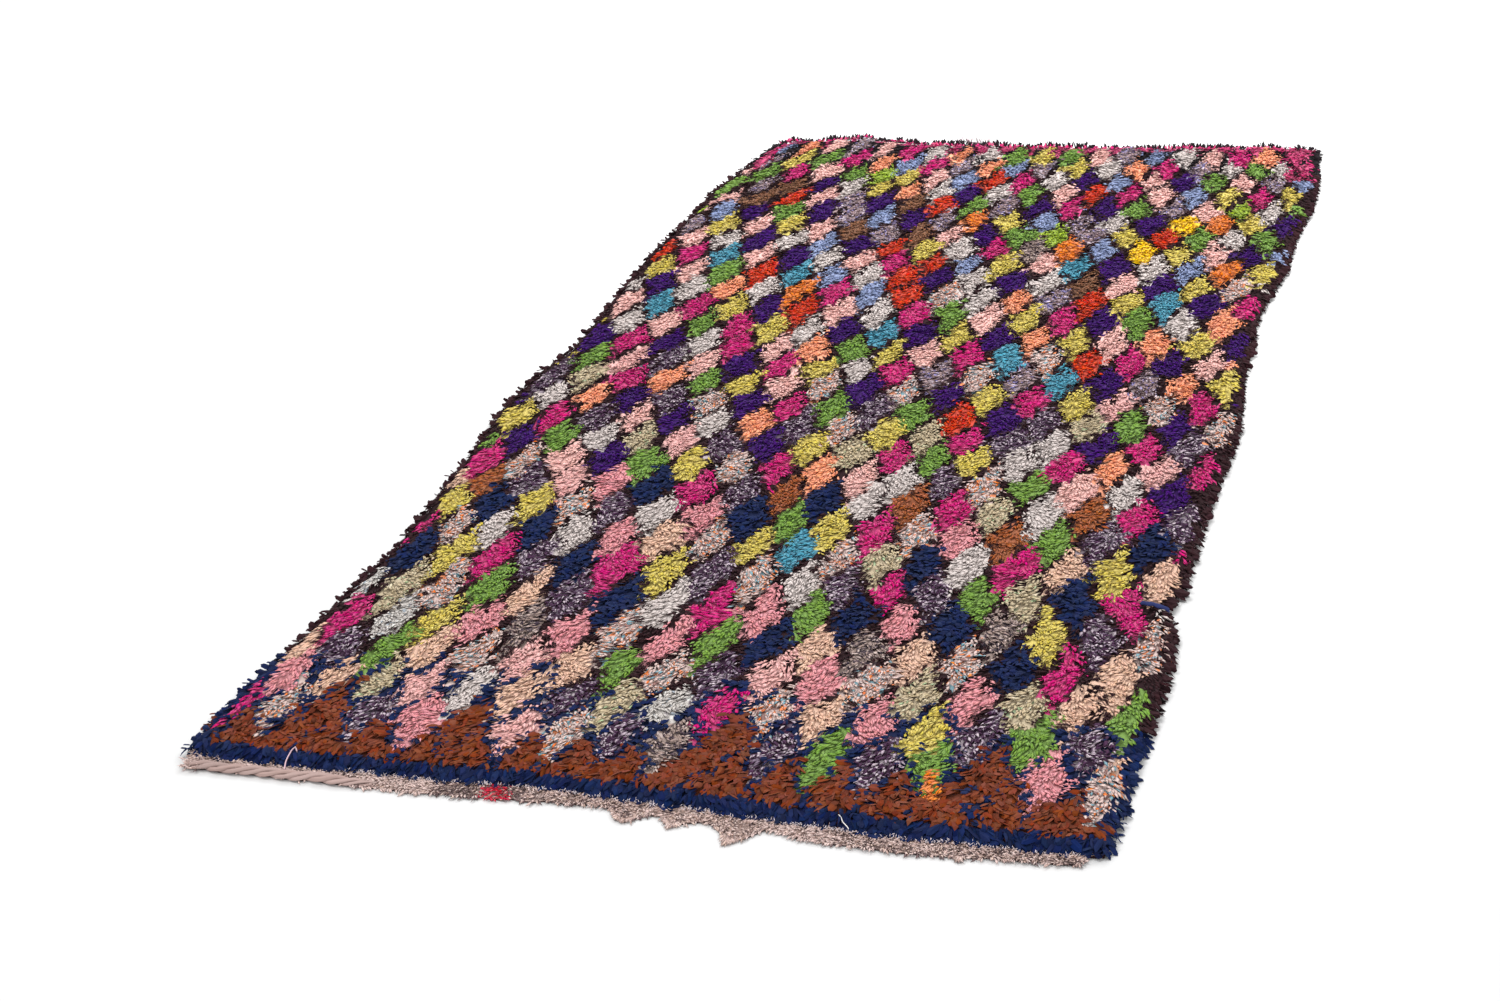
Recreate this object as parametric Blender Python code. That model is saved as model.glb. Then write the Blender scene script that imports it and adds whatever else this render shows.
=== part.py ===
"""A boucherouite rug lying flat: a long rag pile rug with a flat-woven near end.

Metres, +Z up. The rug's width runs along X and its length along Y. The flat-woven end is at -Y.
The origin is under the middle of the whole rug, on the floor.
"""

import math
import random

import bpy
import numpy as np
from mathutils import Vector
from mathutils.geometry import delaunay_2d_cdt

# Overall size, to the tips of the rim locks.
OVERALL_WIDTH = 1.404
OVERALL_LENGTH = 3.010

# The long edges of the pile, measured along the rug from the foot of the near pile edge.
# Each row: along, left edge and right edge, as distances from the rug's centre line.
LONG_EDGES = (
    {"along": 0.00, "left": 0.646, "right": 0.646},
    {"along": 0.15, "left": 0.646, "right": 0.649},
    {"along": 0.30, "left": 0.637, "right": 0.652},
    {"along": 0.45, "left": 0.634, "right": 0.657},
    {"along": 0.58, "left": 0.628, "right": 0.648},
    {"along": 0.64, "left": 0.626, "right": 0.630},
    {"along": 0.70, "left": 0.628, "right": 0.644},
    {"along": 0.85, "left": 0.640, "right": 0.646},
    {"along": 1.00, "left": 0.651, "right": 0.646},
    {"along": 1.20, "left": 0.674, "right": 0.657},
    {"along": 1.36, "left": 0.675, "right": 0.656},
    {"along": 1.52, "left": 0.656, "right": 0.643},
    {"along": 1.70, "left": 0.662, "right": 0.639},
    {"along": 1.90, "left": 0.675, "right": 0.640},
    {"along": 2.10, "left": 0.684, "right": 0.662},
    {"along": 2.30, "left": 0.678, "right": 0.664},
    {"along": 2.50, "left": 0.685, "right": 0.680},
    {"along": 2.64, "left": 0.669, "right": 0.683},
    {"along": 2.80, "left": 0.655, "right": 0.671},
    {"along": 2.92, "left": 0.630, "right": 0.664},
)
# The far edge. Each row: across from the centre line, and its distance from the near pile edge.
FAR_EDGE = (
    {"across": -0.64, "along": 2.918},
    {"across": -0.52, "along": 2.912},
    {"across": -0.42, "along": 2.932},
    {"across": -0.32, "along": 2.912},
    {"across": 0.00, "along": 2.900},
    {"across": 0.30, "along": 2.910},
    {"across": 0.66, "along": 2.930},
)
# The foot of the pile at the near end. Each row: across, and how far it wanders along the rug.
NEAR_FOOT = (
    {"across": -0.65, "along": 0.002},
    {"across": -0.30, "along": 0.004},
    {"across": -0.13, "along": 0.012},
    {"across": 0.10, "along": 0.004},
    {"across": 0.35, "along": -0.006},
    {"across": 0.65, "along": 0.000},
)

# The flat-woven end, with the loose tabs that hang off its ragged outer edge.
WOVEN_WIDTH = 0.034
WOVEN_RAGGED = 0.006
WOVEN_THICK = 0.0055
WOVEN_INSET_LEFT = 0.012
WOVEN_INSET_RIGHT = 0.004
TAB_BLUNT = 1.4
TABS = (
    {"across": 0.025, "half": 0.030, "reach": 0.013},
    {"across": 0.100, "half": 0.022, "reach": 0.013},
    {"across": 0.180, "half": 0.030, "reach": 0.030},
)

# The pile: a rounded, lumpy slab whose near face slopes down onto the flat-woven end.
PILE_TOP = 0.0225
PILE_LUMP = 0.0050
RIM_TOP = 0.0125
ROUND_OVER = 0.034
NEAR_FACE_RUN = 0.013
NEAR_FACE_TOP = 0.0185
# A low ripple that runs in from the far edge near its left corner.
RIPPLE = {"from": (-0.42, 2.93), "to": (-0.56, 2.52), "height": 0.009, "spread": 0.060}

# The spacing of the points that shape the top.
BED_PITCH = 0.042
BED_WANDER = 0.010
SHOULDER_IN = 0.018
SHOULDER_STEP = 0.032
FOOT_STEP = 0.020

# The locks round the rim: every other step of the pile's outline carries one.
STEP = 0.0127
LOCK_REACH = (0.014, 0.026)
LOCK_SKEW = math.radians(24.0)
LOCK_TIP_HALF = 0.0026
LOCK_TIP_HIGH = 0.0035

# The rag strip tied over the pinched right edge, where the pile is pressed down.
TIE_ALONG = 0.636
TIE_WIDE = 0.008
TIE_THICK = 0.002
TIE_IN = 0.040
TIE_BEND = 0.012
TIE_GAP = 0.0007
TIE_BARE = 0.024
PRESSED_TOP = 0.0150
PRESSED_REACH = 0.070

HALF_WIDTH = OVERALL_WIDTH / 2.0
NEAR_REACH = WOVEN_WIDTH + max(tab["reach"] for tab in TABS) - 0.5 * WOVEN_RAGGED
FAR_REACH = OVERALL_LENGTH - NEAR_REACH
MID_LENGTH = OVERALL_LENGTH / 2.0 - NEAR_REACH
ROW_PITCH = BED_PITCH * math.sqrt(0.75)


def smooth(rows, key, value, at):
    """Reads a table between its rows, with a soft curve through every row."""
    spots = [row[key] for row in rows]
    values = [row[value] for row in rows]
    at = min(max(at, spots[0]), spots[-1])
    i = min(int(np.searchsorted(spots, at, side="right")) - 1, len(spots) - 2)

    def slope(j):
        low, high = max(j - 1, 0), min(j + 1, len(spots) - 1)
        return (values[high] - values[low]) / (spots[high] - spots[low])

    span = spots[i + 1] - spots[i]
    t = (at - spots[i]) / span
    start = (2 * t**3 - 3 * t**2 + 1) * values[i] + (t**3 - 2 * t**2 + t) * span * slope(i)
    end = (3 * t**2 - 2 * t**3) * values[i + 1] + (t**3 - t**2) * span * slope(i + 1)
    return start + end


def left_edge(along):
    return -smooth(LONG_EDGES, "along", "left", along)


def right_edge(along):
    return smooth(LONG_EDGES, "along", "right", along)


def near_foot(across):
    return smooth(NEAR_FOOT, "across", "along", across)


def far_edge(across):
    return smooth(FAR_EDGE, "across", "along", across)


def woven_edge(across):
    """The outer edge of the flat-woven end, with its tabs."""
    reach = WOVEN_WIDTH - near_foot(across)
    for tab in TABS:
        away = abs(across - tab["across"]) / tab["half"]
        reach += tab["reach"] * min(max(TAB_BLUNT * (1.0 - away), 0.0), 1.0)
    return -min(reach, NEAR_REACH)


def line_of(curve, start, end, step):
    """Points about a step apart along a curve, its ends included."""
    fine = np.array([curve(t) for t in np.linspace(start, end, 600)])
    runs = np.linalg.norm(np.diff(fine, axis=0), axis=1)
    lengths = np.concatenate([[0.0], np.cumsum(runs)])
    marks = np.linspace(0.0, lengths[-1], int(round(lengths[-1] / step)) + 1)
    return [(np.interp(m, lengths, fine[:, 0]), np.interp(m, lengths, fine[:, 1])) for m in marks]


def edge_distance(across, along):
    """How far a place in the pile is from its nearest edge."""
    return min(
        across - left_edge(along),
        right_edge(along) - across,
        far_edge(across) - along,
        along - near_foot(across),
    )


def ripple_height(across, along):
    """The ripple's rise: full at the far edge, and gone at its inner end."""
    start, end = Vector(RIPPLE["from"]), Vector(RIPPLE["to"])
    ridge = end - start
    t = min(max((Vector((across, along)) - start).dot(ridge) / ridge.length_squared, 0.0), 1.0)
    away = (Vector((across, along)) - start - ridge * t).length
    return RIPPLE["height"] * (1.0 - t) * math.exp(-((away / RIPPLE["spread"]) ** 2))


def pressed_share(across, along):
    """1 where the tie presses the pile down, and 0 well away from it."""
    away = math.hypot(across - right_edge(TIE_ALONG), along - TIE_ALONG)
    return 1.0 - min(max(away / PRESSED_REACH - 1.0, 0.0), 1.0)


def pile_height(across, along, chance):
    """The top of the pile: rounded over at its edges, with soft lumps."""
    inward = min(max(edge_distance(across, along) / ROUND_OVER, 0.0), 1.0)
    rounded = RIM_TOP + (PILE_TOP - RIM_TOP) * math.sin(inward * math.pi / 2.0)
    lump = PILE_LUMP * chance.uniform(-1.0, 1.0) * inward
    free = rounded + lump + ripple_height(across, along)
    pressed = pressed_share(across, along)
    return free * (1.0 - pressed) + PRESSED_TOP * pressed


def outline(chance):
    """The rug's plan, anticlockwise from the near left corner: rows of a point and its edge's name."""
    woven_from = left_edge(0.0) + WOVEN_INSET_LEFT
    woven_to = right_edge(0.0) - WOVEN_INSET_RIGHT
    right_end = LONG_EDGES[-1]["right"]
    left_end = -LONG_EDGES[-1]["left"]
    edges = (
        ("woven", line_of(lambda x: (x, woven_edge(x)), woven_from, woven_to, STEP)),
        ("right", line_of(lambda y: (right_edge(y), y), near_foot(HALF_WIDTH), far_edge(right_end), STEP)[:-1]),
        ("far", line_of(lambda x: (x, far_edge(x)), right_end, left_end, STEP)[:-1]),
        ("left", line_of(lambda y: (left_edge(y), y), far_edge(left_end), near_foot(-HALF_WIDTH), STEP)),
    )
    rows = []
    for name, line in edges:
        for i, (x, y) in enumerate(line):
            if name == "woven" and 0 < i < len(line) - 1:
                y = max(y - chance.uniform(0.0, 1.0) * WOVEN_RAGGED, -NEAR_REACH)
            rows.append((Vector((x, y)), name))
    return rows


def shoulder_points():
    """A line of places just inside the pile's edges, where its top has begun to round over."""
    start, end = 2.0 * SHOULDER_IN, LONG_EDGES[-1]["along"] - 2.0 * SHOULDER_IN
    left = line_of(lambda y: (left_edge(y) + SHOULDER_IN, y), start, end, SHOULDER_STEP)
    right = line_of(lambda y: (right_edge(y) - SHOULDER_IN, y), start, end, SHOULDER_STEP)
    reach = LONG_EDGES[-1]["left"] - SHOULDER_IN
    far = line_of(lambda x: (x, far_edge(x) - SHOULDER_IN), -reach, reach, SHOULDER_STEP)
    return left + right + far


def bed_points(chance):
    """Scattered places over the pile, on a staggered grid with some wander."""
    places = []
    for row in range(int(FAR_REACH / ROW_PITCH) + 1):
        for column in range(-int(HALF_WIDTH / BED_PITCH) - 1, int(HALF_WIDTH / BED_PITCH) + 2):
            x = (column + 0.5 * (row % 2)) * BED_PITCH + chance.uniform(-1, 1) * BED_WANDER
            y = row * ROW_PITCH + chance.uniform(-1, 1) * BED_WANDER
            clear_of_face = y - near_foot(x) > NEAR_FACE_RUN + SHOULDER_IN
            if clear_of_face and edge_distance(x, y) > 1.5 * SHOULDER_IN:
                places.append((x, y))
    return places


def carries_lock(rows, i, after_lock):
    """Every other step of the pile's own outline carries a lock, but for those beside the tie."""
    start, name = rows[i]
    end, end_name = rows[(i + 1) % len(rows)]
    if after_lock or "woven" in (name, end_name) or min(start.y, end.y) < STEP / 2.0:
        return False
    return name != "right" or abs((start.y + end.y) / 2.0 - TIE_ALONG) > TIE_BARE


def lock_tip(start, end, chance):
    """The two corners of a lock's tip, out from a step of the outline."""
    run = (end - start).normalized()
    outward = Vector((run.y, -run.x))
    skew = chance.uniform(-LOCK_SKEW, LOCK_SKEW)
    lean = outward * math.cos(skew) + run * math.sin(skew)
    middle = (start + end) / 2.0 + lean * chance.uniform(*LOCK_REACH)
    corners = (middle - run * LOCK_TIP_HALF, middle + run * LOCK_TIP_HALF)
    return [(min(max(c.x, -HALF_WIDTH), HALF_WIDTH), min(c.y, FAR_REACH)) for c in corners]


def top_surface(rows, chance):
    """The top as points and triangles, with the number of each outline point in it."""
    ring = [tuple(point) for point, name in rows]
    reach = LONG_EDGES[0]["left"] - FOOT_STEP
    foot = line_of(lambda x: (x, near_foot(x)), -reach, reach, FOOT_STEP)
    face = line_of(lambda x: (x, near_foot(x) + NEAR_FACE_RUN), -reach, reach, FOOT_STEP)
    ring_end, foot_end = len(ring), len(ring) + len(foot)
    face_end = foot_end + len(face)
    joins = [(i, (i + 1) % ring_end) for i in range(ring_end)]
    joins += [(i, i + 1) for i in range(ring_end, foot_end - 1)]
    joins += [(i, i + 1) for i in range(foot_end, face_end - 1)]
    plan = [Vector(p) for p in ring + foot + face + shoulder_points() + bed_points(chance)]
    places, _, faces, origins, _, _ = delaunay_2d_cdt(plan, joins, [], 1, 1e-6)

    points, ring_at = [], {}
    for number, (place, sources) in enumerate(zip(places, origins)):
        source = min(sources)
        if source < ring_end:
            ring_at[source] = number
            at_foot = place.y < near_foot(place.x) + STEP / 2.0
            height = WOVEN_THICK if at_foot else RIM_TOP
        elif source < foot_end:
            height = WOVEN_THICK
        elif source < face_end:
            height = NEAR_FACE_TOP + chance.uniform(-0.5, 0.5) * PILE_LUMP
        else:
            height = pile_height(place.x, place.y, chance)
        points.append((place.x, place.y, height))
    return points, [list(face) for face in faces], [ring_at[i] for i in range(ring_end)]


def rug_solid():
    """The rug's one solid: flat underside, side walls with their locks, and lumpy top."""
    chance = random.Random(41)
    rows = outline(chance)
    points, faces, top_ring = top_surface(rows, chance)
    base = len(points)
    points += [(point.x, point.y, 0.0) for point, name in rows]
    underside = []
    after_lock = False
    for i in range(len(rows)):
        j = (i + 1) % len(rows)
        low0, low1, top0, top1 = base + i, base + j, top_ring[i], top_ring[j]
        underside.append(low0)
        after_lock = carries_lock(rows, i, after_lock)
        if not after_lock:
            faces.append([low0, low1, top1, top0])
            continue
        tip = lock_tip(rows[i][0], rows[j][0], chance)
        out0, out1, high0, high1 = range(len(points), len(points) + 4)
        points += [(*corner, height) for height in (0.0, LOCK_TIP_HIGH) for corner in tip]
        underside += [out0, out1]
        faces.append([out0, out1, high1, high0])
        faces.append([low0, out0, high0, top0])
        faces.append([out1, low1, top1, high1])
        faces.append([top0, high0, high1, top1])
    faces.append(underside[::-1])
    return points, faces


def tie_solid():
    """A flat strip that lies over the pinched edge and turns down to the floor outside it."""
    edge = right_edge(TIE_ALONG)
    low = PRESSED_TOP + TIE_GAP
    outer = edge + 2.0 * TIE_GAP
    bend = RIM_TOP + 2.0 * TIE_GAP
    under = [(edge - TIE_IN, low), (edge - TIE_BEND, low), (outer, bend), (outer, 0.0)]
    over = [(edge - TIE_IN, low + TIE_THICK), (edge - TIE_BEND + 0.4 * TIE_THICK, low + TIE_THICK)]
    over += [(outer + TIE_THICK, bend + 0.5 * TIE_THICK), (outer + TIE_THICK, 0.0)]
    count = len(under)
    points = []
    for side in (TIE_ALONG - TIE_WIDE / 2.0, TIE_ALONG + TIE_WIDE / 2.0):
        points += [(x, side, z) for x, z in under + over]
    faces = [[0, count, 3 * count, 2 * count], [count - 1, 3 * count - 1, 4 * count - 1, 2 * count - 1]]
    for i in range(count - 1):
        near_low, near_high, far_low, far_high = (i + part * count for part in range(4))
        faces.append([near_low, near_low + 1, near_high + 1, near_high])
        faces.append([far_low, far_high, far_high + 1, far_low + 1])
        faces.append([near_low, far_low, far_low + 1, near_low + 1])
        faces.append([near_high, near_high + 1, far_high + 1, far_high])
    return points, faces


def place(name, solid, colour, roughness):
    """Makes one named object, with the origin under the middle of the whole rug."""
    points, faces = solid
    mesh = bpy.data.meshes.new(name)
    mesh.from_pydata([(x, y - MID_LENGTH, z) for x, y, z in points], [], faces)
    mesh.validate()
    material = bpy.data.materials.new(name + "_cloth")
    material.use_nodes = True
    shader = material.node_tree.nodes["Principled BSDF"]
    shader.inputs["Base Color"].default_value = (*colour, 1.0)
    shader.inputs["Roughness"].default_value = roughness
    shader.inputs["Metallic"].default_value = 0.0
    mesh.materials.append(material)
    bpy.context.scene.collection.objects.link(bpy.data.objects.new(name, mesh))


for old in list(bpy.data.objects):
    bpy.data.objects.remove(old)
place("rug", rug_solid(), colour=(0.36, 0.17, 0.20), roughness=0.95)
place("selvedge_tie", tie_solid(), colour=(0.03, 0.05, 0.16), roughness=0.9)
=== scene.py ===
"""A boucherouite rug: rag tufts knotted row by row on a ground weave, in a lozenge lattice.

Lengths are in metres. Across is x, from the rug's middle to its right edge. Along starts at the foot
of the pile, beside the flat-woven end, and runs to the far end.
"""
import math

import bpy
import numpy as np
from mathutils import Matrix, Vector
from mathutils.bvhtree import BVHTree


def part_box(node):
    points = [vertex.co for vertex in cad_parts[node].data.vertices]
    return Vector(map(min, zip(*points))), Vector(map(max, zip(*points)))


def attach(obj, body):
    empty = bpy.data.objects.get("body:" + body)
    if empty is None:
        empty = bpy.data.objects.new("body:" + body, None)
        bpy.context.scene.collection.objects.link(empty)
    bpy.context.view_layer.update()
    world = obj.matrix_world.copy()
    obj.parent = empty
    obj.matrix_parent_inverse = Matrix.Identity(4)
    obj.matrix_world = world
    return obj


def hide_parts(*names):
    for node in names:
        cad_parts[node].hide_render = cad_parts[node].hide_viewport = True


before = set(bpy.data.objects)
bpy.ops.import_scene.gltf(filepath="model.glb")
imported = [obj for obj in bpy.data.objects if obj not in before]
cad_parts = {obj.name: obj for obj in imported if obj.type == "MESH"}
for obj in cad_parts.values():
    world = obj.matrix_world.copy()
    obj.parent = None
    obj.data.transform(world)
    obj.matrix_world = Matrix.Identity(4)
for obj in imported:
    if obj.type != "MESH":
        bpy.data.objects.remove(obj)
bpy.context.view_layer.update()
rug_low, rug_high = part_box("rug")
tie_low, tie_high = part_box("selvedge_tie")

# Sizes of the rug
FOOT_FROM_END = 0.061
PILE_LONG = 2.905
RIM_HEIGHT = 0.0124
FOOT_HEIGHT = 0.0058
WOVEN_HEIGHT = 0.0020
WOVEN_TOP = 0.0024
foot_y = rug_low.y + FOOT_FROM_END
tie_y = (tie_low.y + tie_high.y) / 2

# Knots and the lozenges that they draw
ROWS = 136
KNOTS = 160
LOZENGE_LONG = 0.192
LOZENGE_BASE = 0.030
LOZENGE_SHIFT = -0.33
BAND_LONG = 0.030
LAST_ROW = 30
STRAIGHT_WIDE = 1.3
LOZENGES_WIDE = 26
ROWS_WITHOUT_NAVY = 4
SAME_BESIDE = 0.04

# How far the lattice wanders, in lozenges, and how far a knot strays from it, in metres
DRIFT_A, DRIFT_B, DRIFT_FINE = 0.15, 0.12, 0.07
STRAY_ACROSS, STRAY_ALONG = 0.0012, 0.004

# Where the outlines change their cloth, and their thickness in shares of a lozenge's side
NAVY_ENDS = 0.27
NAVY_RIM_ENDS = 0.28
FAR_BORDER_STARTS = 2.65
CHARCOAL_STARTS = 2.72
OUTLINE_THINS = 2.875
OUTLINE_ALONG = (0.0, 0.12, 0.24, 0.5, 0.9, 1.35, 1.9, 2.5)
OUTLINE_THICK = (0.10, 0.115, 0.140, 0.122, 0.093, 0.155, 0.124, 0.168)

# The lozenges grow narrower towards the far end
COLUMNS_ALONG = (0.0, 2.10, 2.45, 2.90)
COLUMNS_COUNT = (17.4, 17.4, 18.6, 20.4)

rng = np.random.default_rng(317)

# Cloths, as the colour that each shows in daylight, in 0 to 255
CLOTHS = {
    "navy": (18, 29, 63),
    "tie_cloth": (28, 35, 84),
    "brown": (100, 47, 28),
    "plum": (46, 26, 30),
    "charcoal": (33, 27, 31),
    "peach": (206, 168, 146),
    "green": (110, 142, 65),
    "leaf_green": (140, 162, 57),
    "magenta": (184, 43, 108),
    "far_magenta": (178, 60, 104),
    "lime": (193, 175, 87),
    "light_grey": (193, 182, 178),
    "blue_grey": (183, 177, 172),
    "salmon": (204, 135, 141),
    "rose": (213, 162, 158),
    "pale_pink": (217, 169, 162),
    "khaki": (178, 162, 134),
    "purple": (59, 21, 97),
    "teal": (75, 138, 159),
    "periwinkle": (128, 140, 174),
    "red_orange": (188, 50, 22),
    "taupe": (122, 84, 63),
    "yellow": (239, 181, 6),
    "apricot": (225, 145, 110),
    "orange": (209, 117, 55),
    "sienna": (150, 85, 52),
    "calico": (194, 171, 165),
    "dark_mottle": (67, 43, 66),
    "grey_mottle": (145, 126, 119),
    "lavender_mottle": (141, 119, 120),
    "woven": (174, 150, 142),
    "woven_pale": (204, 182, 176),
    "grey_yarn": (108, 90, 90),
    "rope_yarn": (150, 129, 123),
    "red_yarn": (188, 48, 68),
    "stitch_thread": (214, 202, 206),
    "pink_yarn": (196, 164, 174),
    "white_thread": (226, 222, 218),
}

# Cloths that were printed or mottled before they were cut: share of flecks and their colours
FLECKS = {
    "calico": (0.36, ((206, 120, 72), (112, 146, 156), (140, 108, 104))),
    "dark_mottle": (0.42, ((160, 145, 156), (112, 97, 114), (184, 170, 178))),
    "grey_mottle": (0.45, ((84, 70, 76), (176, 158, 152), (60, 50, 60))),
    "lavender_mottle": (0.42, ((104, 86, 100), (190, 176, 188), (126, 118, 168))),
    "khaki": (0.16, ((150, 168, 132), (196, 184, 158), (136, 120, 92))),
    "blue_grey": (0.14, ((148, 156, 164), (206, 204, 200), (152, 144, 146))),
    "woven": (0.30, ((204, 180, 168), (158, 132, 122), (180, 156, 152))),
}

# The share of each cloth in the zones of the rug, from the woven end to the far end
ZONES = (
    (0.00, dict(peach=12, navy=17, dark_mottle=13, calico=10, green=10, salmon=10, rose=4, magenta=9,
                lime=6, light_grey=3, blue_grey=4, khaki=4, grey_mottle=4)),
    (0.55, dict(navy=21, peach=8, calico=10, dark_mottle=17, salmon=5, rose=2, lime=8, magenta=12,
                light_grey=4, khaki=6, green=7)),
    (0.95, dict(purple=15, magenta=13, dark_mottle=14, lime=13, light_grey=10, rose=5, pale_pink=5,
                calico=9, green=7, khaki=4, apricot=4)),
    (1.40, dict(purple=17, magenta=14, lime=13, light_grey=13, pale_pink=9, apricot=10, green=7, teal=5,
                lavender_mottle=4, calico=3)),
    (1.85, dict(purple=15, light_grey=17, pale_pink=16, lime=9, periwinkle=8, teal=7, red_orange=6,
                green=6, orange=4, taupe=4, grey_mottle=3, magenta=3)),
    (2.25, dict(purple=16, pale_pink=15, light_grey=17, red_orange=7, lime=10, green=6, leaf_green=3,
                periwinkle=7, lavender_mottle=6, taupe=4, orange=4, magenta=3)),
    (2.60, dict(lime=12, green=10, leaf_green=2, magenta=14, periwinkle=10, apricot=11, pale_pink=11,
                light_grey=13, lavender_mottle=11)),
)

# Single lozenges that stand out, as cloth, across and along
SINGLES = (
    ("sienna", -0.561, 0.882), ("sienna", -0.042, 0.884), ("sienna", 0.176, 0.895),
    ("sienna", 0.352, 0.859), ("sienna", 0.477, 0.904),
    ("red_orange", 0.334, 1.556), ("red_orange", 0.151, 1.274),
    ("yellow", 0.448, 2.307), ("yellow", 0.363, 2.122),
    ("teal", 0.053, 0.687),
)

# Lozenges of the second row that are brown too, counted from the middle
BROWN_PEAKS = (-7, -4, 1, 6)

# A small patch in the border: its middle across and along, half its width and half its length
ORANGE_PATCH = (0.408, 0.088, 0.015, 0.032)


def smooth_line(values, reach):
    """Moving average with held ends."""
    padded = np.pad(values, reach, mode="edge")
    kernel = np.ones(2 * reach + 1) / (2 * reach + 1)
    return np.convolve(padded, kernel, mode="valid")


def blend(values, column, row, share_x, share_y):
    """Value between four neighbours of a grid."""
    low = values[row, column] * (1 - share_x) + values[row, column + 1] * share_x
    high = values[row + 1, column] * (1 - share_x) + values[row + 1, column + 1] * share_x
    return low * (1 - share_y) + high * share_y


def wander(cell):
    """A smooth random field over the rug, from -1 to 1, with a new value every `cell` metres."""
    count = int(4.0 / cell) + 3
    values = rng.uniform(-1, 1, (count, count))

    def at(x, y):
        column = (np.asarray(x) + 1.0) / cell
        row = (np.asarray(y) + 2.0) / cell
        c, r = np.floor(column).astype(int), np.floor(row).astype(int)
        fx, fy = column - c, row - r
        fx, fy = fx * fx * (3 - 2 * fx), fy * fy * (3 - 2 * fy)
        return blend(values, np.clip(c, 0, count - 2), np.clip(r, 0, count - 2), fx, fy)

    return at


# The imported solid's relief, which gives the pile its height and the rug its outline
STEP_X = 0.003
STEP_Y = 0.004
CORNER_LONG = 0.03
HALF_INNER = 0.62
EDGE_REACH, WOVEN_REACH = 5, 1
relief_x = np.arange(rug_low.x - STEP_X, rug_high.x + 2 * STEP_X, STEP_X)
relief_y = np.arange(rug_low.y - STEP_Y, rug_high.y + 2 * STEP_Y, STEP_Y)


def read_relief():
    """Heights of the rug's top over a regular grid, read with rays from above."""
    tree = BVHTree.FromObject(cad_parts["rug"], bpy.context.evaluated_depsgraph_get())
    down = Vector((0, 0, -1))
    above = rug_high.z + 0.05
    heights = np.zeros((len(relief_y), len(relief_x)))
    for row, y in enumerate(relief_y):
        for column, x in enumerate(relief_x):
            hit = tree.ray_cast(Vector((x, y, above)), down)[0]
            if hit is not None:
                heights[row, column] = hit.z
    return heights


relief = read_relief()


def top(x, y):
    """Height of the rug's top at x, y."""
    column = np.clip((np.asarray(x) - relief_x[0]) / STEP_X, 0, len(relief_x) - 1.001)
    row = np.clip((np.asarray(y) - relief_y[0]) / STEP_Y, 0, len(relief_y) - 1.001)
    c, r = column.astype(int), row.astype(int)
    return blend(relief, c, r, column - c, row - r)


def read_edges():
    """The rug's four edges as smooth lines: left and right over y, the rest over x."""
    firm = relief >= RIM_HEIGHT
    rows = (relief_y > foot_y + CORNER_LONG) & (relief_y < foot_y + 2.87)
    left = smooth_line(relief_x[np.argmax(firm[rows], axis=1)], EDGE_REACH)
    right = smooth_line(relief_x[-1 - np.argmax(firm[rows][:, ::-1], axis=1)], EDGE_REACH)
    inner = np.abs(relief_x) < HALF_INNER
    far = smooth_line(relief_y[-1 - np.argmax(firm[::-1, inner], axis=0)], EDGE_REACH)
    foot = smooth_line(relief_y[np.argmax(relief[:, inner] > FOOT_HEIGHT, axis=0)], EDGE_REACH)
    woven = smooth_line(relief_y[np.argmax(relief[:, inner] > WOVEN_HEIGHT, axis=0)], WOVEN_REACH)
    return (relief_y[rows], left, right), (relief_x[inner], far, foot, woven)


(edge_y, left_line, right_line), (edge_x, far_line, foot_line, woven_line) = read_edges()


def follow(places, line):
    """An edge as a function: its x for each y, or its y for each x."""
    return lambda at: np.interp(at, places, line)


left_x, right_x = (follow(edge_y, line) for line in (left_line, right_line))
far_y, pile_foot_y, woven_y = (follow(edge_x, line) for line in (far_line, foot_line, woven_line))


def place(u, along):
    """x, y of a spot at the share u across and the distance along of a rug with straight edges."""
    y = foot_y + along
    x = left_x(y) + u * (right_x(y) - left_x(y))
    share = along / PILE_LONG
    y = pile_foot_y(x) + share * (far_y(x) - pile_foot_y(x))
    return left_x(y) + u * (right_x(y) - left_x(y)), y


# The lattice
drift_a, drift_b, drift_fine = wander(0.34), wander(0.30), wander(0.06)
outline_gap = wander(0.045)


def lattice(u, along):
    """Place in the lattice: whole numbers of p and q are the lozenges' outlines."""
    columns = np.interp(along, COLUMNS_ALONG, COLUMNS_COUNT)
    x = (u - 0.5) * STRAIGHT_WIDE
    a = (u - 0.5) * columns + LOZENGE_SHIFT + DRIFT_A * drift_a(x, along) + DRIFT_FINE * drift_fine(x, along)
    b = (along - LOZENGE_BASE) / LOZENGE_LONG + DRIFT_B * drift_b(x, along)
    return a + b, a - b


def zone_shares(along):
    """The cloths and shares of the zone at this distance, with ragged borders between zones."""
    shown = along + rng.normal(0, 0.06)
    shares = ZONES[0][1]
    for start, candidate in ZONES:
        if shown >= start:
            shares = candidate
    return shares


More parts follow.
